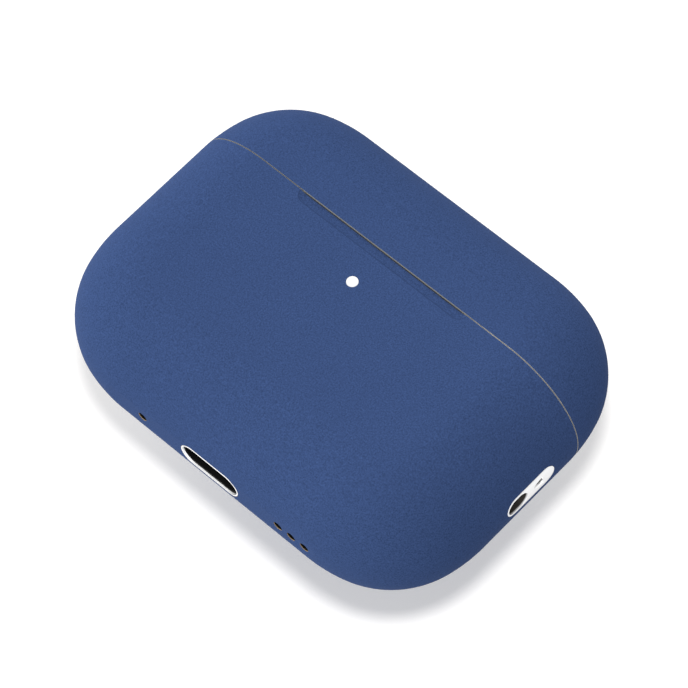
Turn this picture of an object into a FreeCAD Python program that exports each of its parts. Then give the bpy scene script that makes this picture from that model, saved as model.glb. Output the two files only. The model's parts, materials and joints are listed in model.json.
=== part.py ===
import FreeCAD, Part
import math
import os
import re
import Sketcher

# Wireless earbuds case, standing on its narrow base: X to the right, Y to the back,
# Z up through the lid. The origin is the middle of the foot. Lengths in millimetres.

SIZES = {
    # the pebble that both shells are cut from
    "case_width": 60.6,
    "case_height": 45.2,
    "case_depth": 21.7,
    "foot_trim": 0.1,
    "edge_rounding": 10.7,
    "corner_reach": 15.2,
    "corner_outer_arc": 20.0,
    "corner_middle_arc": 13.0,
    # how the mouldings sit inside each other
    "shell_wall": 1.3,
    "fit_gap": 0.1,
    "moulding_wall": 0.9,
    "seam_level": 31.1,
    "seam_gap": 0.08,
    "inset_gap": 0.05,
    # thumb scoop under the seam
    "scoop_half_length": 12.0,
    "scoop_radius": 2.6,
    "scoop_bite": 0.35,
    # earbud wells, one each side
    "deck_thickness": 1.3,
    "deck_drop": 0.2,
    "rim_rise": 0.5,
    "well_offset": 15.9,
    "well_length": 17.0,
    "well_width": 14.0,
    "well_rounding": 4.0,
    "well_floor": 21.5,
    "stem_offset": 12.5,
    "stem_length": 7.5,
    "stem_width": 6.5,
    "stem_rounding": 2.5,
    "stem_floor": 9.5,
    # lid liner
    "liner_thickness": 1.2,
    "lid_well_roof": 41.5,
    # hinge
    "hinge_inset": 0.6,
    "hinge_length": 26.0,
    "hinge_clearance": 0.15,
    "knuckle_radius": 1.1,
    "knuckle_gap": 0.1,
    "pin_radius": 0.4,
    "pin_play": 0.05,
    "leaf_thickness": 0.6,
    "leaf_reach": 4.0,
    "leaf_setback": 1.35,
    "relief_height": 0.8,
    "relief_lead": 0.1,
    "relief_half_length": 23.6,
    # charging port, to the USB Type-C receptacle sizes
    "ring_length": 9.2,
    "ring_width": 3.8,
    "ring_wall": 0.16,
    "ring_depth": 1.6,
    "collar_setback": 0.26,
    "mouth_length": 8.34,
    "mouth_width": 2.56,
    "can_wall": 0.3,
    "can_depth": 7.0,
    "tongue_width": 6.69,
    "tongue_thickness": 0.7,
    "tongue_setback": 0.8,
    "insulator_depth": 1.2,
    "contact_width": 0.25,
    "contact_pitch": 0.5,
    "contact_length": 3.4,
    "contact_thickness": 0.05,
    "seal_band": 0.7,
    "seal_depth": 0.9,
    # port board and its screws
    "port_board_length": 19.2,
    "port_board_height": 5.9,
    "port_board_thickness": 0.8,
    "port_board_level": 2.7,
    "screw_offset": 8.2,
    "screw_level": 3.9,
    "screw_radius": 0.45,
    "screw_length": 4.0,
    "screw_head_radius": 0.95,
    "screw_head_height": 0.6,
    "boss_radius": 1.2,
    "boss_end": 7.2,
    # sound holes and the parts behind them
    "sound_hole_radius": 0.65,
    "sound_hole_offset": 13.2,
    "sound_hole_pitch": 2.1,
    "vent_offset": 11.0,
    "membrane_radius": 1.3,
    "membrane_thickness": 0.2,
    "speaker_length": 6.4,
    "speaker_width": 5.6,
    "speaker_height": 3.5,
    "speaker_level": 2.05,
    "mesh_thickness": 0.1,
    "gasket_length": 6.0,
    "gasket_width": 4.4,
    "gasket_band": 0.7,
    # status light
    "light_level": 25.7,
    "light_radius": 0.73,
    "light_flange_radius": 1.3,
    "light_flange_thickness": 0.4,
    "lamp_side": 1.2,
    "lamp_depth": 0.5,
    # main board
    "board_length": 12.6,
    "board_height": 20.5,
    "board_thickness": 0.8,
    "board_level": 6.5,
    "board_face": 8.0,
    "chip_side": 3.8,
    "chip_thickness": 0.9,
    "chip_pitch": 5.4,
    "chip_level": 8.2,
    "sensor_side": 1.2,
    "sensor_offset": 5.0,
    # battery
    "battery_length": 12.6,
    "battery_width": 12.6,
    "battery_height": 14.8,
    "battery_level": 9.5,
    "battery_rounding": 1.2,
    "tape_thickness": 0.2,
    "flex_thickness": 0.2,
    "flex_width": 4.4,
    "lead_width": 2.5,
    "lead_offset": 4.0,
    # magnets
    "closure_magnet_length": 8.0,
    "closure_magnet_width": 2.0,
    "closure_magnet_height": 2.4,
    "closure_magnet_offset": 7.6,
    "earbud_magnet_thickness": 1.3,
    "earbud_magnet_width": 6.0,
    "earbud_magnet_height": 4.0,
    "earbud_magnet_offset": 5.6,
    "earbud_magnet_level": 24.9,
    # wireless charging coil, behind the back wall
    "coil_level": 17.8,
    "coil_radius": 7.6,
    "coil_eye": 4.6,
    "coil_thickness": 0.55,
    "coil_gap": 0.15,
    "ferrite_radius": 8.0,
    "ferrite_eye": 2.9,
    "ferrite_thickness": 0.4,
    "ring_magnet_radius": 9.6,
    "ring_magnet_eye": 8.25,
    "ring_magnet_depth": 0.85,
    "ring_magnet_gap": 10.0,
    # set-up button
    "button_radius": 1.95,
    "button_play": 0.1,
    "button_recess": 0.05,
    "button_flange_radius": 2.6,
    "button_flange_thickness": 0.4,
    "button_travel": 0.4,
    "switch_radius": 1.9,
    "switch_depth": 0.95,
    # lanyard loop, in the right side
    "loop_level": 22.8,
    "loop_length": 8.1,
    "loop_width": 3.3,
    "loop_depth": 4.2,
    "loop_bore_width": 2.6,
    "loop_bore_depth": 3.2,
    "loop_entry_length": 3.3,
    "loop_entry_drop": 2.2,
    "loop_exit_radius": 0.5,
    "loop_exit_rise": 1.53,
    "loop_exit_slope": 0.4,
    "loop_ramp_radius": 0.65,
    "loop_ramp_top": 2.05,
    "loop_ramp_slope": 2.2,
    "loop_bar_thickness": 1.5,
    # charging pins in the stem wells
    "pin_block_side": 5.6,
    "pin_block_level": 5.9,
    "contact_pin_radius": 0.45,
    "contact_pin_play": 0.1,
    "contact_pin_spacing": 2.54,
    "contact_pin_rise": 0.8,
    "contact_pin_foot": 6.9,
}

KNUCKLES = 5
CONTACTS = 12
CHIP_ROWS = 3
SIDES = {"left": -1, "right": 1}

doc = FreeCAD.newDocument("earbuds_case")
sheet = doc.addObject("Spreadsheet::Sheet", "Sizes")
for row, (size_name, size) in enumerate(SIZES.items(), start=1):
    sheet.set(f"A{row}", size_name)
    sheet.set(f"B{row}", str(size))
    sheet.setAlias(f"B{row}", size_name)
doc.recompute()

X_AXIS = FreeCAD.Vector(1, 0, 0)
Y_AXIS = FreeCAD.Vector(0, 1, 0)
Z_AXIS = FreeCAD.Vector(0, 0, 1)
ALONG = {
    "x": FreeCAD.Rotation(Y_AXIS, 90),
    "y": FreeCAD.Rotation(X_AXIS, -90),
    "z": FreeCAD.Rotation(),
}
# a pill drawn along X and raised along Z, turned to lie along Z and run out along X
SIDEWAYS = FreeCAD.Rotation(X_AXIS + Z_AXIS, 180)

BACK = "case_depth / 2"
SEAM = "seam_level"
HINGE_Y = "(case_depth / 2 - hinge_inset)"
INSIDE = "(case_depth / 2 - shell_wall)"
LINING = "shell_wall + fit_gap"


# ---------------------------------------------------------------- building helpers

def cell(text):
    """Point every size name in an expression at the spreadsheet."""
    return re.sub(r"[a-z][a-z_]+", lambda word: "Sizes." + word.group(), str(text))


def value_of(text):
    """What an expression comes to with the present sizes."""
    return float(sheet.evalExpression(cell(text)))


def bind(item, sizes):
    for path, text in sizes.items():
        item.setExpression(path, cell(text))
    return item


def place(item, x, y, z):
    return bind(item, {"Placement.Base.x": x, "Placement.Base.y": y, "Placement.Base.z": z})


def block(name, x, y, z, length, width, height):
    """A box centred on x and y that stands on z."""
    item = bind(doc.addObject("Part::Box", name),
                {"Length": length, "Width": width, "Height": height})
    return place(item, f"{x} - ({length}) / 2", f"{y} - ({width}) / 2", z)


def rod(name, along, x, y, z, radius, length):
    """A cylinder that starts at x, y, z and runs along one axis."""
    item = bind(doc.addObject("Part::Cylinder", name), {"Radius": radius, "Height": length})
    item.Placement.Rotation = ALONG[along]
    return place(item, x, y, z)


def ball(name, x, y, z, radius):
    return place(bind(doc.addObject("Part::Sphere", name), {"Radius": radius}), x, y, z)


def fuse(name, pieces):
    item = doc.addObject("Part::MultiFuse", name)
    item.Shapes = pieces
    return item


def common(name, first, second):
    item = doc.addObject("Part::Common", name)
    item.Base = first
    item.Tool = second
    return item


def cut(name, base, tool):
    item = doc.addObject("Part::Cut", name)
    item.Base = base
    item.Tool = tool
    return item


def group(name, pieces):
    """Several separate solids in one node."""
    item = doc.addObject("Part::Compound", name)
    item.Links = pieces
    return item


def origin_plane(body, role):
    return next(plane for plane in body.Origin.OriginFeatures if plane.Role == role)


def new_sketch(body, name, role):
    sketch = body.newObject("Sketcher::SketchObject", name)
    sketch.AttachmentSupport = (origin_plane(body, role), [""])
    sketch.MapMode = "FlatFace"
    return sketch


def dimension(sketch, name, kind, points, text):
    """Add a dimension and bind it to the spreadsheet."""
    index = sketch.addConstraint(Sketcher.Constraint(kind, *points, value_of(text)))
    sketch.renameConstraint(index, name)
    sketch.setExpression(f"Constraints.{name}", cell(text))


def pad(body, sketch, length, side_type="One side"):
    feature = body.newObject("PartDesign::Pad", body.Name + "_pad")
    feature.Profile = sketch
    feature.SideType = side_type
    bind(feature, {"Length": length})
    sketch.Visibility = False
    return feature


def round_edges(body, base, radius, wanted):
    """Fillet the edges of a feature that a test picks out."""
    doc.recompute()
    names = [f"Edge{number}" for number, edge in enumerate(base.Shape.Edges, start=1)
             if wanted(edge)]
    feature = body.newObject("PartDesign::Fillet", body.Name + "_fillet")
    feature.Base = (base, names)
    return bind(feature, {"Radius": radius})


# ---------------------------------------------------------------- shared shapes

def outline_curves(half_width, half_height, outer, middle, reach):
    """The outline anticlockwise from its right flat: each flat, then a corner's three arcs."""
    lean = math.acos((outer - reach) / (outer - middle) / math.sqrt(2)) - math.pi / 4
    flat_x, flat_y = half_width - reach, half_height - reach
    step = outer - middle
    centres = [(half_width - outer, flat_y),
               (half_width - outer + step * math.cos(lean), flat_y + step * math.sin(lean)),
               (flat_x, half_height - outer)]
    radii = [outer, middle, outer]
    turns = [0.0, lean, math.pi / 2 - lean, math.pi / 2]
    flats = [((half_width, -flat_y), (half_width, flat_y)),
             ((flat_x, half_height), (-flat_x, half_height)),
             ((-half_width, flat_y), (-half_width, -flat_y)),
             ((-flat_x, -half_height), (flat_x, -half_height))]
    curves = []
    for quarter, (start, end) in enumerate(flats):
        curves.append(Part.LineSegment(FreeCAD.Vector(*start), FreeCAD.Vector(*end)))
        mirror_x = 1 if quarter in (0, 3) else -1
        mirror_y = 1 if quarter in (0, 1) else -1
        corner = centres if quarter in (0, 2) else centres[::-1]
        for arc, (x, y) in enumerate(corner):
            circle = Part.Circle(FreeCAD.Vector(mirror_x * x, mirror_y * y), Z_AXIS, radii[arc])
            begin, finish = (quarter * math.pi / 2 + turn for turn in turns[arc:arc + 2])
            curves.append(Part.ArcOfCircle(circle, begin, finish))
    return curves


def draw_outline(sketch, inset, drawn_in):
    """Four flats joined by corners of three tangent arcs: gentle, tighter, gentle."""
    tall = SIZES["case_height"] + SIZES["foot_trim"]
    curves = outline_curves(SIZES["case_width"] / 2 - drawn_in, tall / 2 - drawn_in,
                            SIZES["corner_outer_arc"] - drawn_in,
                            SIZES["corner_middle_arc"] - drawn_in, SIZES["corner_reach"] - drawn_in)
    sketch.addGeometry(curves)
    for curve in range(len(curves)):
        after = (curve + 1) % len(curves)
        sketch.addConstraint(Sketcher.Constraint("Tangent", curve, 2, after, 1))
    right, top, left, bottom = range(0, len(curves), 4)
    gentle = [flat + arc for flat in (right, top, left, bottom) for arc in (1, 3)]
    tighter = [flat + 2 for flat in (right, top, left, bottom)]
    for arcs in (gentle, tighter):
        for arc in arcs[1:]:
            sketch.addConstraint(Sketcher.Constraint("Equal", arcs[0], arc))
    for flat, axis in ((right, -1), (top, -2), (left, -1), (bottom, -2)):
        sketch.addConstraint(Sketcher.Constraint("Symmetric", flat, 1, flat, 2, axis))
    half_width = f"case_width / 2 - ({inset})"
    half_height = f"(case_height + foot_trim) / 2 - ({inset})"
    flat_x = "case_width / 2 - corner_reach"
    flat_y = "(case_height + foot_trim) / 2 - corner_reach"
    dimension(sketch, "gentle_arc", "Radius", (gentle[0],), f"corner_outer_arc - ({inset})")
    dimension(sketch, "tighter_arc", "Radius", (tighter[0],), f"corner_middle_arc - ({inset})")
    dimension(sketch, "right_side", "DistanceX", (right, 2), half_width)
    dimension(sketch, "left_side", "DistanceX", (left, 1), f"-({half_width})")
    dimension(sketch, "top_side", "DistanceY", (top, 1), half_height)
    dimension(sketch, "bottom_side", "DistanceY", (bottom, 2), f"-({half_height})")
    dimension(sketch, "right_flat", "DistanceY", (right, 2), flat_y)
    dimension(sketch, "left_flat", "DistanceY", (left, 1), flat_y)
    dimension(sketch, "top_flat", "DistanceX", (top, 1), flat_x)
    dimension(sketch, "bottom_flat", "DistanceX", (bottom, 2), flat_x)


def pebble(name, inset):
    """The case's outline with fully rounded edges, or one drawn in from it by an inset."""
    body = doc.addObject("PartDesign::Body", name)
    sketch = new_sketch(body, name + "_outline", "XZ_Plane")
    draw_outline(sketch, inset, value_of(inset))
    solid = pad(body, sketch, f"case_depth - 2 * ({inset})", "Symmetric")
    round_edges(body, solid, f"edge_rounding - ({inset})",
                lambda edge: edge.BoundBox.YLength < 0.001)
    return place(body, 0, 0, "(case_height - foot_trim) / 2")


def rounded_block(name, x, y, z, length, width, height, rounding):
    """A block with its upright edges rounded."""
    body = doc.addObject("PartDesign::Body", name)
    sketch = new_sketch(body, name + "_outline", "XY_Plane")
    right, back = value_of(length) / 2, value_of(width) / 2
    corners = [(-right, -back), (right, -back), (right, back), (-right, back)]
    for side, corner in enumerate(corners):
        start = FreeCAD.Vector(*corner)
        end = FreeCAD.Vector(*corners[(side + 1) % 4])
        sketch.addGeometry(Part.LineSegment(start, end))
    for side in range(4):
        sketch.addConstraint(Sketcher.Constraint("Coincident", side, 2, (side + 1) % 4, 1))
        level = "Horizontal" if side % 2 == 0 else "Vertical"
        sketch.addConstraint(Sketcher.Constraint(level, side))
    sketch.addConstraint(Sketcher.Constraint("Symmetric", 0, 1, 1, 2, -1, 1))
    dimension(sketch, "block_length", "DistanceX", (0, 1, 0, 2), length)
    dimension(sketch, "block_width", "DistanceY", (1, 1, 1, 2), width)
    solid = pad(body, sketch, height)
    round_edges(body, solid, rounding,
                lambda edge: edge.BoundBox.ZLength > 0.001)
    return place(body, x, y, z)


def pill(name, x, y, z, length, width, height, sideways=False):
    """A round-ended bar, long in X and standing on z, or long in Z and running out along X."""
    body = doc.addObject("PartDesign::Body", name)
    sketch = new_sketch(body, name + "_outline", "XY_Plane")
    radius = value_of(width) / 2
    reach = value_of(length) / 2 - radius
    ends = [Part.Circle(FreeCAD.Vector(side * reach, 0, 0), Z_AXIS, radius) for side in (1, -1)]
    quarter = math.pi / 2
    sketch.addGeometry([
        Part.ArcOfCircle(ends[0], -quarter, quarter),
        Part.LineSegment(FreeCAD.Vector(reach, radius, 0), FreeCAD.Vector(-reach, radius, 0)),
        Part.ArcOfCircle(ends[1], quarter, 3 * quarter),
        Part.LineSegment(FreeCAD.Vector(-reach, -radius, 0), FreeCAD.Vector(reach, -radius, 0))])
    for curve in range(4):
        sketch.addConstraint(Sketcher.Constraint("Tangent", curve, 2, (curve + 1) % 4, 1))
    sketch.addConstraint(Sketcher.Constraint("Symmetric", 0, 3, 2, 3, -1, 1))
    sketch.addConstraint(Sketcher.Constraint("Horizontal", 1))
    dimension(sketch, "end_radius", "Radius", (0,), f"({width}) / 2")
    dimension(sketch, "end_reach", "DistanceX", (0, 3), f"(({length}) - ({width})) / 2")
    pad(body, sketch, height)
    if sideways:
        body.Placement.Rotation = SIDEWAYS
    return place(body, x, y, z)


def zone(name, low, high):
    """Everything between two heights."""
    return block(name, 0, 0, low, "2 * case_width", "2 * case_depth", f"({high}) - ({low})")


def both_sides(name, offset, make):
    """The same shape on the left and on the right."""
    return [make(f"{name}_{side}", f"{sign} * {offset}") for side, sign in SIDES.items()]


outer = pebble("case_outside", "0")
cavity = pebble("shell_inside", "shell_wall")
lining = pebble("moulding_outside", LINING)
hollow = pebble("moulding_inside", LINING + " + moulding_wall")


# ---------------------------------------------------------------- shells

def hinge_notch():
    """The slot through both shells that the knuckles sit in."""
    reach = "(knuckle_radius + hinge_clearance)"
    depth = "2 * (leaf_setback + fit_gap + hinge_inset)"
    return block("hinge_notch", 0, "case_depth / 2", f"{SEAM} - {reach}",
                 "hinge_length + 2 * hinge_clearance", depth, f"2 * {reach}")


def thumb_scoop():
    level = "(-case_depth / 2 - scoop_radius + scoop_bite)"
    bar = rod("scoop_bar", "x", "-scoop_half_length", level, SEAM, "scoop_radius",
              "2 * scoop_half_length")
    ends = [ball(f"scoop_{side}", f"{sign} * scoop_half_length", level, SEAM, "scoop_radius")
            for side, sign in SIDES.items()]
    return fuse("thumb_scoop", [bar] + ends)


def base_shell_cuts():
    """Every opening through the base shell."""
    cuts = [notch, scoop]
    cuts.append(pill("port_slot", 0, 0, 0, "ring_length + 2 * inset_gap", "ring_width + 2 * inset_gap",
                     "2 * shell_wall"))
    holes = [f"sound_hole_offset + {step} * sound_hole_pitch" for step in (-1, 0, 1)]
    for index, offset in enumerate(holes + ["-vent_offset"]):
        cuts.append(rod(f"bottom_hole_{index}", "z", offset, 0, 0, "sound_hole_radius",
                        "2 * shell_wall"))
    cuts.append(rod("light_hole", "y", 0, f"-{BACK}", "light_level", "light_radius + inset_gap",
                    "2 * shell_wall"))
    cuts.append(rod("button_hole", "y", 0, f"{INSIDE} - shell_wall", "coil_level",
                    "button_radius + button_play", "3 * shell_wall"))
    cuts.append(pill("loop_slot", "case_width / 2 - loop_depth", 0, "loop_level",
                     "loop_length + 2 * inset_gap", "loop_width + 2 * inset_gap", "2 * loop_depth",
                     sideways=True))
    return cuts


def screw_bosses(face):
    """Two posts from the back wall that the port board is screwed to."""
    posts = both_sides("screw_boss", "screw_offset", lambda name, x: rod(
        name, "y", x, face, "screw_level", "boss_radius", f"boss_end - ({face})"))
    bores = both_sides("boss_bore", "screw_offset", lambda name, x: rod(
        name, "y", x, face, "screw_level", "screw_radius", "screw_length"))
    return fuse("boss_posts", posts), fuse("boss_bores", bores)


notch = hinge_notch()
scoop = thumb_scoop()
BOARD_FRONT = "(mouth_width / 2 + can_wall)"
BOARD_BACK = f"({BOARD_FRONT} + port_board_thickness)"

lower = common("base_block", outer, zone("base_zone", 0, f"{SEAM} - seam_gap / 2"))
lower_shell = cut("base_hollow", lower, cavity)
posts, bores = screw_bosses(BOARD_BACK)
base_openings = fuse("base_openings", base_shell_cuts() + [bores])
base_shell = cut("base_shell", fuse("base_with_posts", [lower_shell, posts]), base_openings)

upper = common("lid_block", outer, zone("lid_zone", f"{SEAM} + seam_gap / 2", "2 * case_height"))
back_relief = block("back_relief", 0, f"{HINGE_Y} - relief_lead + hinge_inset", SEAM,
                    "2 * relief_half_length", "2 * hinge_inset", "relief_height")
lid_shell = cut("lid_shell", cut("lid_hollow", upper, cavity),
                fuse("lid_openings", [notch, back_relief]))


# ---------------------------------------------------------------- earbud wells

DECK = f"({SEAM} - deck_drop)"
LINER = f"({SEAM} + rim_rise + 0.2)"


def head_well(name, x, floor, top, wall):
    return rounded_block(name, x, 0, f"{floor} - ({wall})", f"well_length + 2 * ({wall})",
                         f"well_width + 2 * ({wall})", f"({top}) - ({floor}) + ({wall})",
                         f"well_rounding + ({wall})")


def stem_well(name, x, wall):
    return rounded_block(name, x, 0, f"stem_floor - ({wall})", f"stem_length + 2 * ({wall})",
                         f"stem_width + 2 * ({wall})", f"well_floor - stem_floor + ({wall})",
                         f"stem_rounding + ({wall})")


def wells(name, wall):
    """Both head wells with their stem wells, drawn out by a wall."""
    heads = both_sides(name + "_head", "well_offset", lambda label, x: head_well(
        label, x, "well_floor", f"{SEAM} + rim_rise" if wall == "0" else DECK, wall))
    stems = both_sides(name + "_stem", "stem_offset", lambda label, x: stem_well(label, x, wall))
    return heads + stems


def hinge_clearance_block(name, low, high):
    """Room for the hinge leaves behind a moulding."""
    return block(name, 0, BACK, low, "hinge_length + 4 * hinge_clearance",
                 "2 * (hinge_inset + leaf_setback + hinge_clearance)", f"({high}) - ({low})")


def earbud_tray():
    deck = zone("tray_deck", f"{DECK} - deck_thickness", f"{SEAM} + rim_rise")
    blank = fuse("tray_blanks", [deck] + wells("well_outer", "moulding_wall"))
    outside = common("tray_outside", lining, blank)
    rim_room = common("rim_room", hollow, zone("rim_zone", DECK, f"{SEAM} + 2 * rim_rise"))
    room = common("well_room", hollow, fuse("well_voids", wells("well", "0")))
    pin_holes = [rod(f"pin_hole_{side}_{place_name}", "z", f"{sign} * stem_offset",
                     f"{way} * contact_pin_spacing / 2", "stem_floor - 2 * moulding_wall",
                     "contact_pin_radius + contact_pin_play", "3 * moulding_wall")
                 for side, sign in SIDES.items() for place_name, way in (("front", -1), ("rear", 1))]
    leaf_room = hinge_clearance_block("tray_hinge_room", f"{SEAM} - 2 * leaf_reach",
                                      f"{SEAM} + 2 * rim_rise")
    return cut("earbud_tray", outside, fuse("tray_openings", [rim_room, room, leaf_room] + pin_holes))


def lid_liner():
    deck = zone("liner_deck", LINER, f"{LINER} + liner_thickness")
    blanks = both_sides("lid_well_outer", "well_offset", lambda label, x: head_well(
        label, x, LINER, "lid_well_roof + moulding_wall", "moulding_wall"))
    voids = both_sides("lid_well", "well_offset", lambda label, x: head_well(
        label, x, LINER, "lid_well_roof", "0"))
    above = zone("liner_zone", LINER, "2 * case_height")
    blank = common("liner_blank", fuse("liner_blanks", [deck] + blanks), above)
    outside = common("liner_outside", lining, blank)
    room = common("lid_well_room", hollow, fuse("lid_well_voids", voids))
    leaf_room = hinge_clearance_block("liner_hinge_room", SEAM, f"{SEAM} + 2 * leaf_reach")
    return cut("lid_liner", outside, fuse("liner_openings", [room, leaf_room]))


tray = earbud_tray()
liner = lid_liner()


# ---------------------------------------------------------------- hinge

def knuckle_span(index):
    """Where a knuckle starts and how long it is."""
    length = f"((hinge_length - {KNUCKLES - 1} * knuckle_gap) / {KNUCKLES})"
    return f"(-hinge_length / 2 + {index} * ({length} + knuckle_gap))", length


def hinge_leaf(name, indexes, bore, way):
    """A plate along the back wall with its knuckles, below the axis or above it."""
    pieces = []
    far = f"({SEAM} - leaf_reach)" if way < 0 else SEAM
    plate_level = far if way < 0 else f"({SEAM} + knuckle_radius + hinge_clearance)"
    plate_y = f"{HINGE_Y} - leaf_setback + leaf_thickness / 2"
    pieces.append(block(name + "_plate", 0, plate_y, plate_level, "hinge_length", "leaf_thickness",
                        "leaf_reach - knuckle_radius - hinge_clearance"))
    for index in indexes:
        start, length = knuckle_span(index)
        pieces.append(rod(f"{name}_knuckle_{index}", "x", start, HINGE_Y, SEAM, "knuckle_radius", length))
        pieces.append(block(f"{name}_web_{index}", f"{start} + {length} / 2", plate_y, far, length,
                            "leaf_thickness", "leaf_reach"))
    flush = block(name + "_flush", 0, f"{BACK} - case_depth / 2", 0, "case_width", "case_depth",
                  "case_height")
    bored = cut(name + "_bored", fuse(name + "_blank", pieces),
                rod(name + "_bore", "x", "-hinge_length / 2", HINGE_Y, SEAM, bore, "hinge_length"))
    return common(name, bored, flush)


base_leaf = hinge_leaf("hinge_base_leaf", range(0, KNUCKLES, 2), "pin_radius", -1)
lid_leaf = hinge_leaf("hinge_lid_leaf", range(1, KNUCKLES, 2), "pin_radius + pin_play", 1)
hinge_pin = rod("hinge_pin", "x", "-hinge_length / 2", HINGE_Y, SEAM, "pin_radius", "hinge_length")


# ---------------------------------------------------------------- charging port

CAN_TOP = "(ring_depth + can_depth)"
CAN_LENGTH = "mouth_length + 2 * can_wall"
CAN_WIDTH = "mouth_width + 2 * can_wall"
RING_HOLE = ("ring_length - 2 * ring_wall", "ring_width - 2 * ring_wall")

ring_blank = common("ring_blank", outer, pill(
    "ring_outside", 0, 0, 0, "ring_length", "ring_width", "ring_depth"))
trim_ring = cut("port_trim_ring", ring_blank,
                pill("ring_inside", 0, 0, "-ring_depth", *RING_HOLE, "3 * ring_depth"))
port_collar = cut("port_collar",
                  pill("collar_outside", 0, 0, "collar_setback", *RING_HOLE,
                       "ring_depth - collar_setback"),
                  pill("collar_mouth", 0, 0, 0, "mouth_length", "mouth_width", "ring_depth"))
receptacle = cut("port_receptacle",
                 pill("can_outside", 0, 0, "ring_depth", CAN_LENGTH, CAN_WIDTH, "can_depth"),
                 pill("can_inside", 0, 0, "ring_depth", "mouth_length", "mouth_width", "can_depth"))
port_seal = cut("port_seal",
                pill("seal_outside", 0, 0, "ring_depth", f"{CAN_LENGTH} + 2 * seal_band",
                     f"{CAN_WIDTH} + 2 * seal_band", "seal_depth"),
                pill("seal_inside", 0, 0, "ring_depth", CAN_LENGTH, CAN_WIDTH, "seal_depth"))
insulator = pill("insulator", 0, 0, f"{CAN_TOP} - insulator_depth", "mouth_length", "mouth_width",
                 "insulator_depth")
tongue_bar = block("tongue_bar", 0, 0, "ring_depth + tongue_setback", "tongue_width", "tongue_thickness",
                   "can_depth - tongue_setback")
port_tongue = fuse("port_tongue", [insulator, tongue_bar])
contacts = []
for number in range(CONTACTS):
    across = f"({number} - {(CONTACTS - 1) / 2}) * contact_pitch"
    for face, way in (("front", -1), ("rear", 1)):
        contacts.append(block(f"contact_{face}_{number}", across,
                              f"{way} * (tongue_thickness + contact_thickness) / 2",
                              "ring_depth + 1.5 * tongue_setback", "contact_width", "contact_thickness",
                              "contact_length"))
port_contacts = group("port_contacts", contacts)


def port_board():
    low = block("port_board_foot", 0, f"{BOARD_FRONT} + port_board_thickness / 2", "port_board_level",
                "port_board_length", "port_board_thickness", "port_board_height / 2")
    high = block("port_board_neck", 0, f"{BOARD_FRONT} + port_board_thickness / 2", "port_board_level",
                 "board_length", "port_board_thickness", "port_board_height")
    holes = both_sides("port_board_hole", "screw_offset", lambda name, x: rod(
        name, "y", x, 0, "screw_level", "screw_radius + fit_gap", BOARD_BACK))
    return cut("port_board", fuse("port_board_blank", [low, high]), fuse("port_board_holes", holes))


def port_screws():
    screws = []
    for side, sign in SIDES.items():
        x = f"{sign} * screw_offset"
        head = rod(f"screw_head_{side}", "y", x, f"{BOARD_FRONT} - screw_head_height", "screw_level",
                   "screw_head_radius", "screw_head_height")
        shank = rod(f"screw_shank_{side}", "y", x, BOARD_FRONT, "screw_level", "screw_radius",
                    "port_board_thickness + screw_length")
        screws.append(fuse(f"screw_{side}", [head, shank]))
    return group("port_screws", screws)


board_port = port_board()
screws_port = port_screws()


# ---------------------------------------------------------------- sound

SPEAKER_FACE = "(speaker_level - fit_gap - mesh_thickness / 2)"
gasket_blank = common("gasket_blank", lining, block(
    "gasket_block", "sound_hole_offset", 0, 0, "gasket_length", "gasket_width",
    f"{SPEAKER_FACE} - mesh_thickness / 2"))
speaker_gasket = cut("speaker_gasket", gasket_blank, block(
    "gasket_window", "sound_hole_offset", 0, 0, "gasket_length - gasket_band / 2",
    "gasket_width - 2 * gasket_band", "speaker_level"))
speaker_mesh = block("speaker_mesh", "sound_hole_offset", 0, f"{SPEAKER_FACE} - mesh_thickness / 2",
                     "gasket_length", "gasket_width", "mesh_thickness")
speaker = rounded_block("speaker_module", "sound_hole_offset", 0, "speaker_level", "speaker_length",
                        "speaker_width", "speaker_height", "gasket_band")
vent_membrane = rod("vent_membrane", "z", "-vent_offset", 0, LINING + " - foot_trim", "membrane_radius",
                    "membrane_thickness")


# ---------------------------------------------------------------- boards and light

board_mid = "(-board_face + board_thickness / 2)"
main_board = block("main_board", 0, board_mid, "board_level", "board_length", "board_thickness",
                   "board_height")
chips = [block(f"chip_{row}_{side}", f"{sign} * chip_pitch / 2", "-board_face - chip_thickness / 2",
               f"chip_level + {row} * chip_pitch", "chip_side", "chip_thickness",
               f"chip_side * {1.0 if (row + sign) % 2 else 0.7}")
         for row in range(CHIP_ROWS) for side, sign in SIDES.items()]
board_chips = group("board_chips", chips)
lamp_y = "-board_face - lamp_depth / 2"
status_led = block("status_led", 0, lamp_y, "light_level - lamp_side / 2", "lamp_side", "lamp_depth",
                   "lamp_side")
hall_sensor = block("hall_sensor", "sensor_offset", lamp_y, "light_level - sensor_side / 2",
                    "sensor_side", "lamp_depth", "sensor_side")
light_stem = rod("light_stem", "y", 0, f"-{BACK}", "light_level", "light_radius",
                 f"{BACK} - board_face - lamp_depth")
light_flange = rod("light_flange", "y", 0, f"-{INSIDE}", "light_level", "light_flange_radius",
                   "light_flange_thickness")
light_pipe = fuse("led_light_pipe", [light_stem, light_flange])


# ---------------------------------------------------------------- battery and its leads

battery = rounded_block("battery_cell", 0, 0, "battery_level", "battery_length", "battery_width",
                        "battery_height", "battery_rounding")
battery_tape = block("battery_tape", 0, "-(battery_width + tape_thickness) / 2",
                     "battery_level + battery_height / 4", "battery_length / 2", "tape_thickness",
                     "battery_height / 2")
BATTERY_TOP = "(battery_level + battery_height)"
board_rear = "(board_face - board_thickness)"
battery_flex = block("battery_flex", "lead_offset", f"-{board_rear} * 0.7", BATTERY_TOP, "lead_width",
                     f"{board_rear} * 0.6", "flex_thickness")
port_flex = block("port_flex", 0, f"({BOARD_BACK} - {board_rear}) / 2", f"{CAN_TOP} + flex_thickness",
                  "flex_width", f"{BOARD_BACK} + {board_rear}", "flex_thickness")


# ---------------------------------------------------------------- magnets

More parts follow.
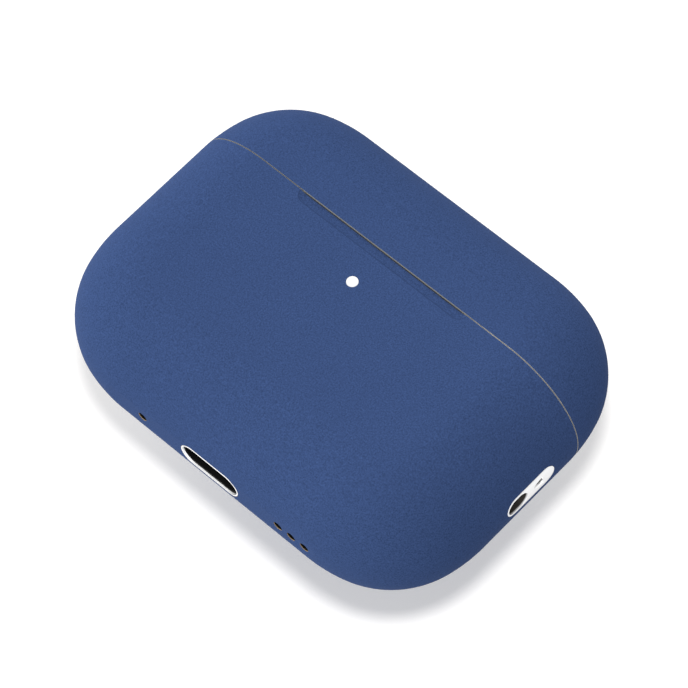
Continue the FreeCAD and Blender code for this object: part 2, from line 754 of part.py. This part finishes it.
closure_y = "-closure_magnet_offset"
closure_magnet = block("closure_magnet", 0, closure_y,
                       f"{DECK} - deck_thickness - closure_magnet_height", "closure_magnet_length",
                       "closure_magnet_width", "closure_magnet_height")
lid_magnet = block("lid_magnet", 0, closure_y, f"{LINER} + liner_thickness", "closure_magnet_length",
                   "closure_magnet_width", "closure_magnet_height")
earbud_magnets = group("earbud_magnets", both_sides(
    "earbud_magnet", "earbud_magnet_offset", lambda name, x: block(
        name, x, 0, "earbud_magnet_level", "earbud_magnet_thickness", "earbud_magnet_width",
        "earbud_magnet_height")))


# ---------------------------------------------------------------- wireless charging

def disc_ring(name, back, thickness, radius, eye):
    """A flat ring against the back wall, round the coil's axis."""
    front = f"({back}) - ({thickness})"
    disc = rod(name + "_disc", "y", 0, front, "coil_level", radius, thickness)
    hole = rod(name + "_eye", "y", 0, front, "coil_level", eye, thickness)
    return cut(name, disc, hole)


COIL_BACK = f"({INSIDE} - coil_gap)"
FERRITE_BACK = f"({COIL_BACK} - coil_thickness - fit_gap)"
charging_coil = disc_ring("charging_coil", COIL_BACK, "coil_thickness", "coil_radius", "coil_eye")
coil_ferrite = disc_ring("coil_ferrite", FERRITE_BACK, "ferrite_thickness", "ferrite_radius",
                         "ferrite_eye")


magnet_ring = disc_ring("magnet_ring", COIL_BACK, "ring_magnet_depth", "ring_magnet_radius",
                        "ring_magnet_eye")
ring_magnets = cut("alignment_magnets", magnet_ring, block(
    "magnet_gap", 0, COIL_BACK, 0, "ring_magnet_gap", "4 * ring_magnet_depth", "case_height"))


# ---------------------------------------------------------------- set-up button

FLANGE_BACK = f"({INSIDE} - button_play)"
button_cap = rod("button_cap", "y", 0, f"{FLANGE_BACK} - button_flange_thickness", "coil_level",
                 "button_radius", "shell_wall + button_play + button_flange_thickness - button_recess")
button_flange = rod("button_flange", "y", 0, f"{FLANGE_BACK} - button_flange_thickness", "coil_level",
                    "button_flange_radius", "button_flange_thickness")
setup_button = fuse("setup_button", [button_cap, button_flange])
SWITCH_BACK = f"({FLANGE_BACK} - button_flange_thickness - button_travel - button_play)"
SWITCH_FRONT = f"({SWITCH_BACK} - switch_depth)"
button_switch = rod("button_switch", "y", 0, SWITCH_FRONT, "coil_level", "switch_radius", "switch_depth")
FLEX_FRONT = f"({SWITCH_FRONT} - flex_thickness)"
FLEX_TOP = f"({BATTERY_TOP} + 6 * flex_thickness)"
flex_drop = block("flex_drop", 0, f"{FLEX_FRONT} + flex_thickness / 2", "coil_level - switch_radius",
                  "flex_width", "flex_thickness", f"{FLEX_TOP} - coil_level + switch_radius")
flex_run = block("flex_run", 0, f"({SWITCH_FRONT} - {board_rear}) / 2", f"{FLEX_TOP} - flex_thickness",
                 "flex_width", f"{SWITCH_FRONT} + {board_rear}", "flex_thickness")
button_flex = fuse("button_flex", [flex_drop, flex_run])


# ---------------------------------------------------------------- lanyard loop

def lanyard_loop():
    """A metal cup in the right side with a bar across it for the cord to pass behind."""
    inner_end = "(case_width / 2 - loop_depth)"
    bore_end = "(case_width / 2 - loop_bore_depth)"
    plug = pill("loop_plug", inner_end, 0, "loop_level", "loop_length", "loop_width", "2 * loop_depth",
                sideways=True)
    entry = pill("loop_entry", bore_end, 0, "loop_level - loop_entry_drop", "loop_entry_length",
                 "loop_bore_width", "2 * loop_bore_depth", sideways=True)
    leave = rod("loop_exit", "x", "case_width / 2 - loop_bar_thickness", 0,
                "loop_level + loop_exit_rise + loop_exit_slope * loop_bar_thickness", "loop_exit_radius",
                "3 * loop_bar_thickness")
    ramp = rod("loop_ramp", "x", "case_width / 2", 0, "loop_level + loop_ramp_top", "loop_ramp_radius",
               "3 * loop_bar_thickness")
    for channel, slope in ((leave, "loop_exit_slope"), (ramp, "loop_ramp_slope")):
        lean = math.degrees(math.atan(SIZES[slope]))
        channel.Placement.Rotation = FreeCAD.Rotation(Y_AXIS, 90 + lean)
    passage = block("loop_passage", f"{bore_end} + (loop_bore_depth - loop_bar_thickness) / 2", 0,
                    "loop_level - loop_entry_drop", "loop_bore_depth - loop_bar_thickness",
                    "2 * loop_exit_radius",
                    "loop_entry_drop + loop_exit_rise + loop_exit_slope * loop_bar_thickness")
    return cut("lanyard_loop", common("loop_blank", plug, outer),
               fuse("loop_openings", [entry, leave, ramp, passage]))


loop = lanyard_loop()


# ---------------------------------------------------------------- charging pins

pin_blocks = []
charge_pins = []
for side, sign in SIDES.items():
    x = f"{sign} * stem_offset"
    blank = block(f"pin_block_blank_{side}", x, 0, "pin_block_level", "pin_block_side", "pin_block_side",
                  "stem_floor - moulding_wall - pin_block_level")
    barrels = []
    for end, way in (("front", -1), ("rear", 1)):
        y = f"{way} * contact_pin_spacing / 2"
        barrels.append(rod(f"pin_barrel_{side}_{end}", "z", x, y, "pin_block_level + contact_pin_play",
                           "contact_pin_radius + contact_pin_play", "stem_floor - pin_block_level"))
        charge_pins.append(rod(f"charge_pin_{side}_{end}", "z", x, y, "contact_pin_foot",
                               "contact_pin_radius",
                               "stem_floor + contact_pin_rise - contact_pin_foot"))
    pin_blocks.append(cut(f"pin_block_{side}", blank, fuse(f"pin_barrels_{side}", barrels)))


# ---------------------------------------------------------------- check and write

NODES = [
    base_shell, lid_shell, tray, liner, base_leaf, lid_leaf, hinge_pin, trim_ring, port_collar,
    receptacle, port_seal, port_tongue, port_contacts, board_port, screws_port,
    speaker_gasket, speaker_mesh, speaker,
    vent_membrane, main_board, board_chips, status_led, hall_sensor, light_pipe, battery, battery_tape,
    battery_flex, port_flex, closure_magnet, lid_magnet, earbud_magnets, charging_coil, coil_ferrite,
    ring_magnets, setup_button, button_switch, button_flex, loop,
] + pin_blocks + charge_pins

doc.recompute()
for item in doc.Objects:
    bad = [state for state in item.State if state in ("Invalid", "Error")]
    if bad:
        raise RuntimeError(f"{item.Name}: {bad}")

os.makedirs("parts", exist_ok=True)
for item in NODES:
    item.Label = item.Name
    if item.Shape.isNull() or not item.Shape.isValid():
        raise RuntimeError(f"{item.Label}: bad shape")
    item.Shape.exportStep(f"parts/{item.Label}.step")
print(len(NODES), "nodes")
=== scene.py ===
import json
import math

import bpy
from mathutils import Matrix, Vector


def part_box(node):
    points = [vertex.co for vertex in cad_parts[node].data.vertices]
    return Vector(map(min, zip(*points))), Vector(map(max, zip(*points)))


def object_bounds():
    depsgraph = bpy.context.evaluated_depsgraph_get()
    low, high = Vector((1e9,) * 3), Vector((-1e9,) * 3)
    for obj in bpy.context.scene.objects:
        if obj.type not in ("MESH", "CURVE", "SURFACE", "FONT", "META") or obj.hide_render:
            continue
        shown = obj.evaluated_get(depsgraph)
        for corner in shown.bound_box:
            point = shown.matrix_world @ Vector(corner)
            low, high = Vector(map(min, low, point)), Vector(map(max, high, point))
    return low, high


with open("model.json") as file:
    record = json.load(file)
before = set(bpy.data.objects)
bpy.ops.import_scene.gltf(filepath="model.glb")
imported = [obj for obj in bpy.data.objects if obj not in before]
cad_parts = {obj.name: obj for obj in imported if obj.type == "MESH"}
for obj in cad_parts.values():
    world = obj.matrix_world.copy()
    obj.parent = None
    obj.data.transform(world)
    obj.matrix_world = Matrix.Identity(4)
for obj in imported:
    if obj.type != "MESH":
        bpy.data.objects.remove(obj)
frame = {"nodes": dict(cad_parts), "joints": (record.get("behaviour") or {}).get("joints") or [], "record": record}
cad_box = [list(corner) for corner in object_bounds()]
nodes = frame["nodes"]

MM = 0.001
HINGE = next(joint for joint in frame["joints"] if joint["name"] == "lid_hinge")
SEAM = HINGE["pos_m"][2]
CASE_LOW, CASE_HIGH = (Vector(corner) for corner in cad_box)
CASE_MIDDLE = (CASE_LOW + CASE_HIGH) / 2


# ---------------------------------------------------------------- material helpers

class Recipe:
    """One node material: a Principled shader and short calls for the nodes around it."""

    def __init__(self, name, color, roughness, metallic=0.0, **inputs):
        self.material = bpy.data.materials.new(name)
        self.material.use_nodes = True
        self.tree = self.material.node_tree
        self.shader = self.tree.nodes["Principled BSDF"]
        self.material.diffuse_color = (*color, 1.0)
        self.set(self.shader, Metallic=metallic, Roughness=roughness, **inputs)
        self.shader.inputs["Base Color"].default_value = (*color, 1.0)
        coordinates = self.add("ShaderNodeTexCoord")
        self.place = coordinates.outputs["Object"]
        self.normal = coordinates.outputs["Normal"]

    def add(self, kind, **settings):
        node = self.tree.nodes.new(kind)
        for key, value in settings.items():
            setattr(node, key, value)
        return node

    def set(self, node, **inputs):
        for key, value in inputs.items():
            node.inputs[key.replace("_", " ")].default_value = value
        return node

    def link(self, source, target):
        self.tree.links.new(source, target)

    def noise(self, grain, detail=2.0, roughness=0.5, stretch=(1, 1, 1)):
        """Noise whose features are about one grain across, in metres."""
        scaled = self.set(self.add("ShaderNodeMapping"), Scale=stretch)
        self.link(self.place, scaled.inputs["Vector"])
        noise = self.set(self.add("ShaderNodeTexNoise"), Scale=1.0 / grain, Detail=detail,
                         Roughness=roughness)
        self.link(scaled.outputs["Vector"], noise.inputs["Vector"])
        return noise.outputs["Fac"]

    def ramp(self, value, low, high, low_out=0.0, high_out=1.0):
        """Stretch a value between two levels to a new range."""
        ranged = self.set(self.add("ShaderNodeMapRange"), From_Min=low, From_Max=high,
                          To_Min=low_out, To_Max=high_out)
        self.link(value, ranged.inputs["Value"])
        return ranged.outputs["Result"]

    def spread(self, noise, low_out=0.0, high_out=1.0):
        """Stretch the usual levels of a noise to a new range."""
        return self.ramp(noise, NOISE_LOW, NOISE_HIGH, low_out, high_out)

    def mix(self, factor, first, second):
        """A colour between two colours; each is a colour or another node's output."""
        mixed = self.add("ShaderNodeMix", data_type="RGBA")
        self.link(factor, mixed.inputs["Factor"])
        for socket, value in ((mixed.inputs[6], first), (mixed.inputs[7], second)):
            if hasattr(value, "links"):
                self.link(value, socket)
            else:
                socket.default_value = (*value, 1.0)
        return mixed.outputs[2]

    def math(self, operation, *values):
        node = self.add("ShaderNodeMath", operation=operation)
        for socket, value in zip(node.inputs, values):
            if hasattr(value, "links"):
                self.link(value, socket)
            else:
                socket.default_value = value
        return node.outputs["Value"]

    def vector(self, operation, *values, output="Vector"):
        node = self.add("ShaderNodeVectorMath", operation=operation)
        for socket, value in zip(node.inputs, values):
            if hasattr(value, "links"):
                self.link(value, socket)
            else:
                socket.default_value = value
        return node.outputs[output]

    def axis(self, name, vector=None):
        """One coordinate of the place on the object, or of another vector."""
        split = self.add("ShaderNodeSeparateXYZ")
        self.link(vector or self.place, split.inputs["Vector"])
        return split.outputs[name]

    def far(self, *offsets):
        """The length of a line with these runs along two axes."""
        squares = [self.math("MULTIPLY", run, run) for run in offsets]
        return self.math("SQRT", self.math("ADD", *squares))

    def beyond(self, name, level):
        return self.math("SUBTRACT", self.axis(name), level)

    def waves(self, value, pitch):
        """Rises and falls between zero and one, once in every pitch."""
        turn = self.math("MULTIPLY", value, 2 * math.pi / pitch)
        return self.ramp(self.math("SINE", turn), -1.0, 1.0)

    def color(self, output):
        self.link(output, self.shader.inputs["Base Color"])

    def roughness(self, output):
        self.link(output, self.shader.inputs["Roughness"])

    def bump(self, height, depth, strength=1.0):
        """Raise the surface by a height in metres where the value is one."""
        bump = self.set(self.add("ShaderNodeBump"), Strength=strength, Distance=depth)
        self.link(height, bump.inputs["Height"])
        self.link(bump.outputs["Normal"], self.shader.inputs["Normal"])


# ---------------------------------------------------------------- materials

# The levels between which nearly all of a noise lies.
NOISE_LOW = 0.3
NOISE_HIGH = 0.7

WHITE_PLASTIC = (0.88, 0.88, 0.87)
# Near black: painted shade down holes.
HOLE_PAINTED_SHADE = (0.02, 0.018, 0.016)

# The blue paint: how far its speckle strays from its colour, and the grain of the speckle.
PAINT = (0.0585, 0.106, 0.267)
PAINT_SWING = 0.3
CLOUD_SWING = 0.05
PAINT_GLOSS = 0.01
SPECK = 0.19 * MM
CLOUD = 9 * MM
PAINT_BUMP = 0.02 * MM

# The middle sheet of the case, from which its painted surface bulges outward on every side.
CORE_INSET = 1.4 * CASE_HIGH.y
CORE_LOW = Vector((CASE_LOW.x + CASE_HIGH.y, 0, CASE_LOW.z + CORE_INSET))
CORE_HIGH = Vector((-CORE_LOW.x, 0, CASE_HIGH.z - CORE_INSET))
FACES_INWARD = -0.2 * MM

# The rims at the seam, from outside to inside: bare lip, a band of painted shade, white plastic. The lip is
# painted lighter toward its right end, a painted highlight.
LIP = (0.43, 0.42, 0.36)
LIP_PAINTED_HIGHLIGHT = (0.76, 0.73, 0.64)
LIP_HIGHLIGHT_FROM = 12 * MM
LIP_HIGHLIGHT_BY = 17 * MM
LIP_EDGE = 0.058 * MM
RIM_SHADE = (0.16, 0.17, 0.19)
RIM_BARE = CASE_HIGH.y - 0.2 * MM
RIM_WHITE = CASE_HIGH.y - 0.55 * MM
RIM_BLEND = 0.05 * MM

# The walls of the holes in the bottom: bare at their edge, with painted shade above it.
HOLE_EDGE_BARE = (0.74, 0.56, 0.33)
HOLE_EDGE = 0.12 * MM
HOLE_WALL_TOP = 1.35 * MM
WALL_UPRIGHT = 0.35
WALL_SLANTING = 0.5

# The thumb scoop's crease, as far below the seam as the scoop reaches, and the painted shade drawn along it.
SCOOP_HALF_LENGTH = 12 * MM
SCOOP_REACH = 1.3 * MM
CREASE_WIDTH = 0.1 * MM
CREASE_SHADE = 0.79

# The satin metal of the port ring and the loop, and where painted shade darkens the loop's holes.
SATIN = 0.35
LOOP_BRIGHT = 0.06 * MM
LOOP_FADE = 0.26 * MM


def tinted(color, share):
    return tuple(part * share for part in color)


def scoop_crease_shade(recipe):
    """One along the thin crease round the lower side of the thumb scoop, where painted shade darkens the paint,
    and zero elsewhere.
    """
    along = recipe.math("SUBTRACT", recipe.math("ABSOLUTE", recipe.axis("X")), SCOOP_HALF_LENGTH)
    from_end = recipe.math("MAXIMUM", along, 0.0)
    below = recipe.math("MAXIMUM", recipe.math("SUBTRACT", SEAM, recipe.axis("Z")), 0.0)
    reach = recipe.far(from_end, below)
    off_line = recipe.math("ABSOLUTE", recipe.math("SUBTRACT", reach, SCOOP_REACH))
    on_line = recipe.ramp(off_line, 0.3 * CREASE_WIDTH, CREASE_WIDTH, 1.0, 0.0)
    in_front = recipe.math("LESS_THAN", recipe.axis("Y"), 0.5 * CASE_LOW.y)
    under = recipe.math("GREATER_THAN", below, 0.0)
    return recipe.math("MULTIPLY", on_line, recipe.math("MULTIPLY", in_front, under))


def painted_shell(name):
    """Soft-touch blue paint with a fine speckle and bare plastic at the seam and at the hole edges; painted shade
    in the holes, along the scoop's crease and in a band of the seam rim, and a painted highlight on the lip.
    """
    recipe = Recipe(name, PAINT, 0.6, Specular_IOR_Level=PAINT_GLOSS)
    speck = recipe.spread(recipe.noise(SPECK, detail=3.0, roughness=0.7))
    cloud = recipe.spread(recipe.noise(CLOUD))
    light = recipe.mix(cloud, tinted(PAINT, 1 + PAINT_SWING),
                       tinted(PAINT, 1 + CLOUD_SWING + PAINT_SWING))
    painted = recipe.mix(speck, tinted(PAINT, 1 - PAINT_SWING), light)
    # Painted shade: the paint is darker along the scoop's crease.
    painted = recipe.mix(scoop_crease_shade(recipe), painted, tinted(PAINT, CREASE_SHADE))
    outward = recipe.vector("SUBTRACT", recipe.place, recipe.vector(
        "MINIMUM", recipe.vector("MAXIMUM", recipe.place, CORE_LOW), CORE_HIGH))
    rise = recipe.vector("DOT_PRODUCT", recipe.normal, outward, output="Value")
    inside = recipe.math("LESS_THAN", rise, FACES_INWARD)
    coated = recipe.mix(inside, painted, WHITE_PLASTIC)
    from_core = recipe.vector("LENGTH", outward, output="Value")
    # Painted highlight: the bare lip turns lighter toward its right end.
    highlight_share = recipe.ramp(recipe.axis("X"), LIP_HIGHLIGHT_FROM, LIP_HIGHLIGHT_BY)
    lip = recipe.mix(highlight_share, LIP, LIP_PAINTED_HIGHLIGHT)
    # Painted shade: a dark band between the bare lip and the white plastic.
    rim = recipe.mix(recipe.ramp(from_core, RIM_BARE - RIM_BLEND, RIM_BARE), RIM_SHADE, lip)
    rim = recipe.mix(recipe.ramp(from_core, RIM_WHITE - RIM_BLEND, RIM_WHITE), WHITE_PLASTIC, rim)
    from_seam = recipe.math("ABSOLUTE", recipe.beyond("Z", SEAM))
    finished = recipe.mix(recipe.ramp(from_seam, LIP_EDGE, 1.15 * LIP_EDGE, 1.0, 0.0), coated, rim)
    # Painted shade: the hole walls turn near black above their bare edge.
    tilt = recipe.math("ABSOLUTE", recipe.axis("Z", recipe.normal))
    upright = recipe.ramp(tilt, WALL_UPRIGHT, WALL_SLANTING, 1.0, 0.0)
    low = recipe.math("LESS_THAN", recipe.axis("Z"), HOLE_WALL_TOP)
    up_hole = recipe.ramp(recipe.axis("Z"), 0.5 * HOLE_EDGE, HOLE_EDGE)
    in_hole = recipe.mix(up_hole, HOLE_EDGE_BARE, HOLE_PAINTED_SHADE)
    recipe.color(recipe.mix(recipe.math("MULTIPLY", upright, low), finished, in_hole))
    recipe.roughness(recipe.ramp(speck, 0.0, 1.0, 0.54, 0.66))
    recipe.bump(recipe.noise(1.3 * SPECK, roughness=0.6), PAINT_BUMP, 0.5)
    return recipe.material


def moulded(name, color, roughness, grain=0.4 * MM, depth=0.01 * MM, darkest=0.86, **inputs):
    """Plain moulded plastic or rubber with a little unevenness in its gloss."""
    recipe = Recipe(name, color, roughness, **inputs)
    uneven = recipe.noise(grain, detail=3.0, roughness=0.6)
    recipe.color(recipe.mix(recipe.spread(uneven), tinted(color, darkest), color))
    recipe.roughness(recipe.spread(recipe.noise(4 * MM), roughness * 0.85, roughness * 1.15))
    recipe.bump(uneven, depth, 0.4)
    return recipe.material


def metal(name, color, roughness, brush=(1, 1, 1), grain=0.12 * MM, depth=0.006 * MM, metallic=1.0):
    """Metal with brushed or blasted grain, stretched along one axis for a brushed one."""
    recipe = Recipe(name, color, roughness, metallic=metallic)
    grains = recipe.noise(grain, detail=4.0, roughness=0.65, stretch=brush)
    recipe.color(recipe.mix(recipe.ramp(grains, 0.25, 0.75), tinted(color, 0.8), color))
    recipe.roughness(recipe.spread(grains, roughness * 0.75, roughness * 1.3))
    recipe.bump(grains, depth, 0.5)
    return recipe.material


def wound(name, color, node, pitch):
    """A flat coil of enamelled wire, its turns round the middle of its node."""
    low, high = (Vector(corner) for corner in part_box(node))
    middle = (low + high) / 2
    recipe = Recipe(name, color, 0.3, metallic=1.0)
    from_axis = recipe.far(recipe.beyond("X", middle.x), recipe.beyond("Z", middle.z))
    turns = recipe.waves(from_axis, pitch)
    recipe.color(recipe.mix(turns, tinted(color, 0.35), color))
    recipe.roughness(recipe.spread(recipe.noise(0.5 * MM), 0.25, 0.4))
    recipe.bump(turns, 0.3 * pitch)
    return recipe.material


def woven_mesh(name, color, pitch):
    """Fine wire cloth, open between its wires."""
    recipe = Recipe(name, color, 0.45, metallic=1.0)
    wires = recipe.math("MAXIMUM", recipe.waves(recipe.axis("X"), pitch),
                        recipe.waves(recipe.axis("Y"), pitch))
    recipe.color(recipe.mix(recipe.ramp(wires, 0.5, 0.8), tinted(color, 0.1), color))
    recipe.roughness(recipe.ramp(wires, 0.0, 1.0, 0.7, 0.4))
    recipe.bump(wires, 0.3 * pitch)
    return recipe.material


def circuit_board(name, color):
    """Green solder resist over copper tracks, with tinned pads."""
    recipe = Recipe(name, color, 0.35, Coat_Weight=0.3, Coat_Roughness=0.2)
    tracks = recipe.set(recipe.add("ShaderNodeTexVoronoi", distance="MANHATTAN"),
                        Scale=1 / (1.1 * MM), Randomness=0.7)
    recipe.link(recipe.place, tracks.inputs["Vector"])
    over_copper = recipe.ramp(recipe.waves(tracks.outputs["Distance"], 0.22), 0.45, 0.6)
    pads = recipe.ramp(tracks.outputs["Distance"], 0.1, 0.14, 1.0, 0.0)
    resist = recipe.mix(over_copper, color, tinted(color, 2.4))
    recipe.color(recipe.mix(pads, resist, (0.6, 0.58, 0.52)))
    recipe.roughness(recipe.spread(recipe.noise(3 * MM), 0.3, 0.42))
    recipe.bump(over_copper, 0.03 * MM, 0.6)
    return recipe.material


def loop_metal(name, color):
    """Satin metal, bright on its face and darkened with painted shade down its holes."""
    recipe = Recipe(name, color, 0.45, metallic=SATIN)
    grains = recipe.noise(0.12 * MM, detail=4.0, roughness=0.65)
    face = recipe.mix(recipe.ramp(grains, 0.25, 0.75), tinted(color, 0.88), color)
    bright_from = CASE_HIGH.x - LOOP_BRIGHT
    depth = recipe.ramp(recipe.axis("X"), bright_from - LOOP_FADE, bright_from, 1.0, 0.0)
    # Painted shade: the loop's holes turn near black below its face.
    recipe.color(recipe.mix(depth, face, HOLE_PAINTED_SHADE))
    recipe.roughness(recipe.spread(grains, 0.36, 0.56))
    recipe.bump(grains, 0.006 * MM, 0.5)
    return recipe.material


MATERIALS = {
    "painted_shell": painted_shell("painted_shell"),
    "painted_button": painted_shell("painted_button"),
    "white_moulding": moulded("white_moulding", WHITE_PLASTIC, 0.2, 1.5 * MM, 0.003 * MM, 0.98,
                              Coat_Weight=0.4, Coat_Roughness=0.08),
    "hinge_steel": metal("hinge_steel", (0.62, 0.62, 0.63), 0.28, (0.04, 1, 1)),
    "pin_steel": metal("pin_steel", (0.55, 0.55, 0.56), 0.25, (1, 0.1, 0.1)),
    "port_ring": metal("port_ring", (0.95, 0.95, 0.95), 0.45, metallic=SATIN),
    "port_collar": moulded("port_collar", (0.012, 0.012, 0.013), 0.7, Specular_IOR_Level=0.1),
    "port_can": metal("port_can", (0.12, 0.12, 0.125), 0.45, (1, 1, 0.1)),
    "port_insulator": moulded("port_insulator", (0.012, 0.012, 0.013), 0.6, Specular_IOR_Level=0.2),
    "gold_contact": metal("gold_contact", (0.86, 0.62, 0.24), 0.22),
    "silicone_seal": moulded("silicone_seal", (0.03, 0.03, 0.032), 0.65),
    "circuit_board": circuit_board("circuit_board", (0.015, 0.07, 0.038)),
    "chip_black": moulded("chip_black", (0.02, 0.02, 0.022), 0.55),
    "screw_steel": metal("screw_steel", (0.5, 0.5, 0.52), 0.3),
    "speaker_grey": moulded("speaker_grey", (0.08, 0.08, 0.085), 0.5),
    "fine_mesh": woven_mesh("fine_mesh", (0.12, 0.12, 0.125), 0.16 * MM),
    "membrane_white": moulded("membrane_white", (0.65, 0.65, 0.63), 0.8),
    "led_white": moulded("led_white", (0.9, 0.9, 0.86), 0.3),
    # The light pipe glows faintly: painted light that brightens its white dot.
    "light_pipe": moulded("light_pipe", (0.93, 0.93, 0.92), 0.35, Emission_Color=(1, 1, 1, 1),
                          Emission_Strength=0.35),
    "battery_wrap": moulded("battery_wrap", (0.08, 0.08, 0.085), 0.3),
    "adhesive_tape": moulded("adhesive_tape", (0.7, 0.69, 0.66), 0.8),
    "flex_amber": moulded("flex_amber", (0.45, 0.2, 0.03), 0.3),
    "magnet_nickel": metal("magnet_nickel", (0.66, 0.65, 0.62), 0.2),
    "coil_copper": wound("coil_copper", (0.78, 0.36, 0.17), "charging_coil", 0.32 * MM),
    "ferrite_sheet": moulded("ferrite_sheet", (0.07, 0.07, 0.075), 0.6),
    "switch_metal": metal("switch_metal", (0.6, 0.6, 0.61), 0.25),
    "loop_metal": loop_metal("loop_metal", (0.92, 0.92, 0.93)),
    "pin_holder": moulded("pin_holder", (0.03, 0.03, 0.032), 0.5),
}
for part in frame["record"]["subparts"]:
    piece = nodes[part["node"]]
    piece.data.materials.clear()
    piece.data.materials.append(MATERIALS[part["material_slot"]])


# ---------------------------------------------------------------- stage

def one_sided(name, color, glow):
    """A matte paper that shows only its front, so that no view is blocked from behind."""
    recipe = Recipe(name, color, 0.9, Specular_IOR_Level=0.0, Emission_Color=(1, 1, 1, 1),
                    Emission_Strength=glow)
    clear = recipe.add("ShaderNodeBsdfTransparent")
    mixed = recipe.add("ShaderNodeMixShader")
    recipe.link(recipe.add("ShaderNodeNewGeometry").outputs["Backfacing"], mixed.inputs["Fac"])
    recipe.link(recipe.shader.outputs["BSDF"], mixed.inputs[1])
    recipe.link(clear.outputs["BSDF"], mixed.inputs[2])
    recipe.link(mixed.outputs["Shader"], recipe.tree.nodes["Material Output"].inputs["Surface"])
    return recipe.material


def sheet(name, middle, facing, half, material):
    """A flat square of the stage that faces one way."""
    mesh = bpy.data.meshes.new(name)
    corners = [(-half, -half, 0), (half, -half, 0), (half, half, 0), (-half, half, 0)]
    mesh.from_pydata(corners, [], [(0, 1, 2, 3)])
    square = bpy.data.objects.new(name, mesh)
    square.rotation_euler = Vector(facing).to_track_quat("Z", "Y").to_euler()
    square.location = middle
    mesh.materials.append(material)
    bpy.context.scene.collection.objects.link(square)
    return square


def round_light(name, watts, radius):
    light = bpy.data.lights.new(name, "AREA")
    light.shape = "DISK"
    light.size = 2 * radius
    light.energy = watts
    return light


def sun_light(name, watts, spread):
    light = bpy.data.lights.new(name, "SUN")
    light.angle = spread
    light.energy = watts
    return light


def lamp(light, place, lit_things):
    """Hang a light that points at the case and lights only the things named."""
    name = light.name
    thing = bpy.data.objects.new(name, light)
    lit = bpy.data.collections.new(name + "_lights")
    for lit_thing in lit_things:
        lit.objects.link(lit_thing)
    thing.light_linking.receiver_collection = lit
    thing.location = place
    thing.rotation_euler = (CASE_MIDDLE - place).to_track_quat("-Z", "Y").to_euler()
    bpy.context.scene.collection.objects.link(thing)


# The camera looks up at the case's front and right side, with the lid to the upper right.
CAMERA_OFFSET = Vector((184.72, -427.09, -160.17)) * MM
CAMERA_RIGHT = Vector((0.73120581, 0.06031189, 0.67948549))
CAMERA_DOWN = Vector((0.57002596, 0.4931306, -0.65718538))
CAMERA_LENS = 215.8
CAMERA_SENSOR = 36.0

camera_data = bpy.data.cameras.new("camera")
camera_data.lens = CAMERA_LENS
camera_data.sensor_width = CAMERA_SENSOR
camera_data.clip_start = 0.01
camera = bpy.data.objects.new("camera", camera_data)
bpy.context.scene.collection.objects.link(camera)
camera_place = CASE_MIDDLE + CAMERA_OFFSET
ahead = CAMERA_RIGHT.cross(CAMERA_DOWN).normalized()
axes = Matrix((CAMERA_RIGHT, -CAMERA_DOWN, -ahead)).transposed()
camera.matrix_world = Matrix.Translation(camera_place) @ axes.to_4x4()
bpy.context.scene.camera = camera

# The floor is just under the foot, and the backdrop stands behind the case and takes its shadow.
BACKDROP_GAP = 22 * MM
BACKDROP_HALF_SIDE = 800 * MM
FLOOR_GAP = 0.05 * MM
FLOOR_HALF_SIDE = 1200 * MM
PAPER = (0.99, 0.975, 0.95)
PAPER_GLOW = 0.09
backdrop = sheet("backdrop", (0, CASE_HIGH.y + BACKDROP_GAP, CASE_MIDDLE.z), (0, -1, 0),
                 BACKDROP_HALF_SIDE, one_sided("backdrop_paper", PAPER, PAPER_GLOW))
floor = sheet("floor", (0, 0, -FLOOR_GAP), (0, 0, 1), FLOOR_HALF_SIDE,
              one_sided("floor_paper", PAPER, 0.0))
for paper in (backdrop, floor):
    paper.visible_diffuse = False
    paper.visible_glossy = False
    paper.visible_shadow = False

# The sky alone lights the paint. One lamp lights each paper, where the case casts its shadow,
# and one picks out the bare metal.
BACKDROP_LAMP_PLACE = camera_place - CAMERA_DOWN * 58 * MM
FLOOR_LAMP_PLACE = CASE_MIDDLE + Vector((-80, -60, 400)) * MM
METAL_LAMP_PLACE = CASE_MIDDLE + Vector((270, -270, -240)) * MM
lamp(round_light("backdrop_lamp", 1.4, 20 * MM), BACKDROP_LAMP_PLACE, [backdrop])
lamp(sun_light("floor_lamp", 1.5, 0.3), FLOOR_LAMP_PLACE, [floor])
lamp(round_light("metal_lamp", 3.0, 40 * MM), METAL_LAMP_PLACE,
     [nodes["port_trim_ring"], nodes["lanyard_loop"]])

SKY = 0.75
SKY_SWING = 0.585
SKY_BRIGHT_SIDE = Vector((-0.927, -0.21, -0.31))


def sky():
    """A white sky, brighter low on the left and dimmer opposite, but plain to the camera."""
    world = bpy.data.worlds.new("studio")
    world.use_nodes = True
    tree = world.node_tree
    place = tree.nodes.new("ShaderNodeTexCoord")
    toward = tree.nodes.new("ShaderNodeVectorMath")
    toward.operation = "DOT_PRODUCT"
    toward.inputs[1].default_value = SKY_BRIGHT_SIDE.normalized()
    tree.links.new(place.outputs["Generated"], toward.inputs[0])
    strength = tree.nodes.new("ShaderNodeMath")
    strength.operation = "MULTIPLY_ADD"
    strength.inputs[1].default_value = SKY * SKY_SWING
    strength.inputs[2].default_value = SKY
    tree.links.new(toward.outputs["Value"], strength.inputs[0])
    tree.links.new(strength.outputs["Value"], tree.nodes["Background"].inputs["Strength"])
    tree.nodes["Background"].inputs["Color"].default_value = (1, 1, 1, 1)
    plain = tree.nodes.new("ShaderNodeBackground")
    plain.inputs["Color"].default_value = (1, 1, 1, 1)
    mixed = tree.nodes.new("ShaderNodeMixShader")
    rays = tree.nodes.new("ShaderNodeLightPath")
    tree.links.new(rays.outputs["Is Camera Ray"], mixed.inputs["Fac"])
    tree.links.new(tree.nodes["Background"].outputs["Background"], mixed.inputs[1])
    tree.links.new(plain.outputs["Background"], mixed.inputs[2])
    tree.links.new(mixed.outputs["Shader"], tree.nodes["World Output"].inputs["Surface"])
    return world


bpy.context.scene.world = sky()
bpy.context.scene.view_settings.view_transform = "Standard"
